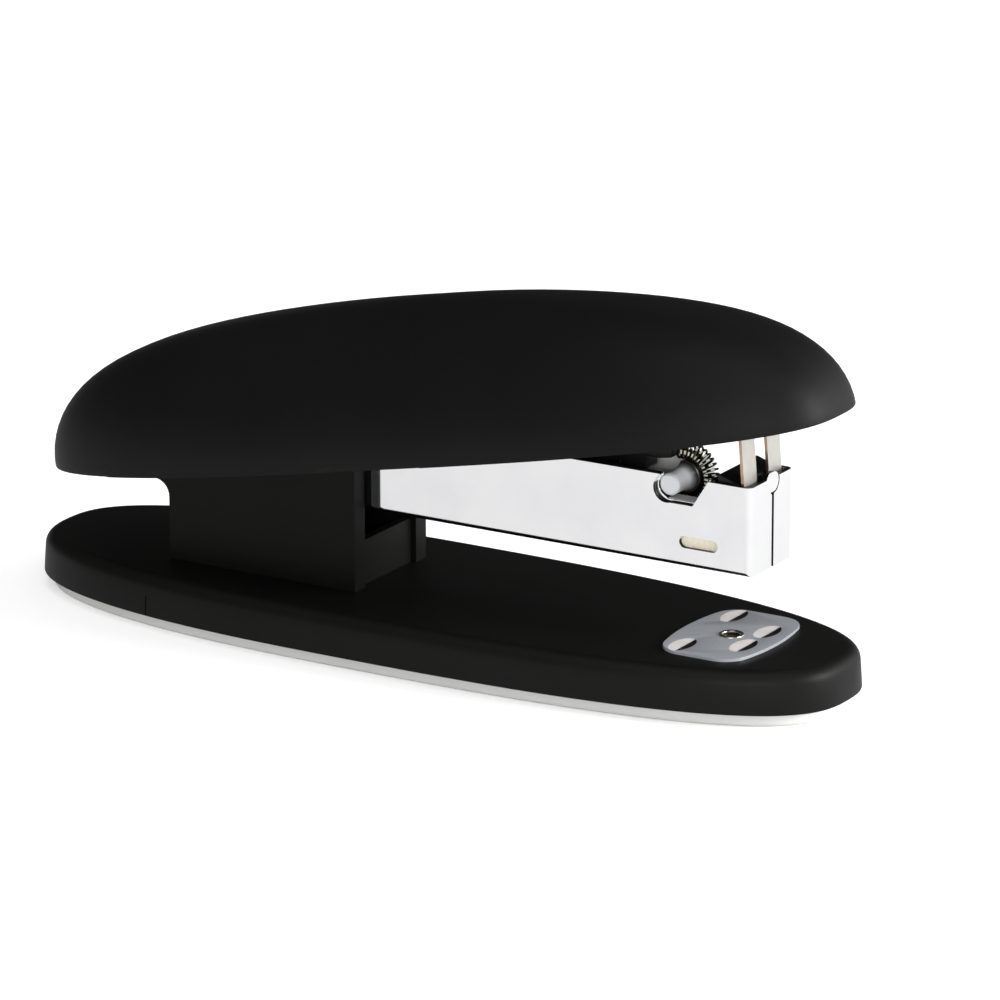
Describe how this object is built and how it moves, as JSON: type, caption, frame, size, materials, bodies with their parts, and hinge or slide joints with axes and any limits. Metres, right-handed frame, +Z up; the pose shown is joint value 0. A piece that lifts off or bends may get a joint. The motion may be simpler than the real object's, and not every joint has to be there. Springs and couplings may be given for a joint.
{
  "type": "desktop stapler",
  "caption": "Desktop stapler with an oval base, a long domed cover, an open-nosed steel magazine and a turning clinch plate.",
  "frame": {"origin": "centre of the base's footprint on the table", "axes": "+X along the stapler to its nose, +Y across it, +Z up"},
  "size_m": [0.1612, 0.0496, 0.0669],
  "materials": {
    "base_sole": "matt",
    "base_shell": "fine grain",
    "hinge_post": "fine grain",
    "post_screws": "plain",
    "hinge_pin": "plain",
    "stop_pin": "plain",
    "lift_spring": "plain",
    "anvil_washer": "plain",
    "anvil_plate": "satin",
    "anvil_rivet": "plain",
    "magazine_casing": "polished",
    "magazine_frame": "satin black",
    "pivot_bushes": "plain",
    "frame_rivets": "plain",
    "staple_rail": "plain",
    "staple_strip": "lacquered wire",
    "saddle_bracket": "polished",
    "spring_saddle": "white",
    "nose_guide": "black",
    "spring_guide": "black",
    "follower_spring": "oiled",
    "staple_pusher": "black",
    "cover_shell": "soft touch",
    "cover_frame": "satin black",
    "driver_blade": "bright",
    "driver_rivets": "plain",
    "cover_screws": "plain",
    "cover_spring": "plain"
  },
  "bodies": {
    "base": {"base_sole": "base_sole", "base_shell": "base_shell", "hinge_post": "hinge_post", "post_screws": "post_screws", "hinge_pin": "hinge_pin", "stop_pin": "stop_pin", "lift_spring": "lift_spring", "anvil_washer": "anvil_washer"},
    "anvil": {"anvil_plate": "anvil_plate", "anvil_rivet": "anvil_rivet"},
    "magazine": {"magazine_casing": "magazine_casing", "magazine_frame": "magazine_frame", "pivot_bushes": "pivot_bushes", "frame_rivets": "frame_rivets", "staple_rail": "staple_rail", "staple_strip": "staple_strip", "saddle_bracket": "saddle_bracket", "spring_saddle": "spring_saddle", "nose_guide": "nose_guide", "spring_guide": "spring_guide", "follower_spring": "follower_spring"},
    "pusher": {"staple_pusher": "staple_pusher"},
    "cover": {"cover_shell": "cover_shell", "cover_frame": "cover_frame", "driver_blade": "driver_blade", "driver_rivets": "driver_rivets", "cover_screws": "cover_screws", "cover_spring": "cover_spring"}
  },
  "joints": [
    {"name": "magazine_swing", "type": "hinge", "parent": "base", "child": "magazine", "pos_m": [-0.042, 0, 0.036], "axis": [0, -1, 0], "range_deg": [-6.8, 0], "stiffness_Nm_per_rad": 0.3, "springref_deg": 34.38, "deforming": ["lift_spring"]},
    {"name": "cover_swing", "type": "hinge", "parent": "magazine", "child": "cover", "pos_m": [-0.042, 0, 0.036], "axis": [0, -1, 0], "range_deg": [-4.5, 18], "stiffness_Nm_per_rad": 0.5, "springref_deg": 2.86, "deforming": ["cover_spring"]},
    {"name": "pusher_slide", "type": "slide", "parent": "magazine", "child": "pusher", "axis": [-1, 0, 0], "range_m": [0, 0.012], "stiffness_N_per_m": 20, "springref_m": -0.02, "deforming": ["follower_spring"]},
    {"name": "anvil_turn", "type": "hinge", "parent": "base", "child": "anvil", "pos_m": [0.058, 0, 0.0103], "axis": [0, 0, 1], "range_deg": [0, 180]}
  ]
}
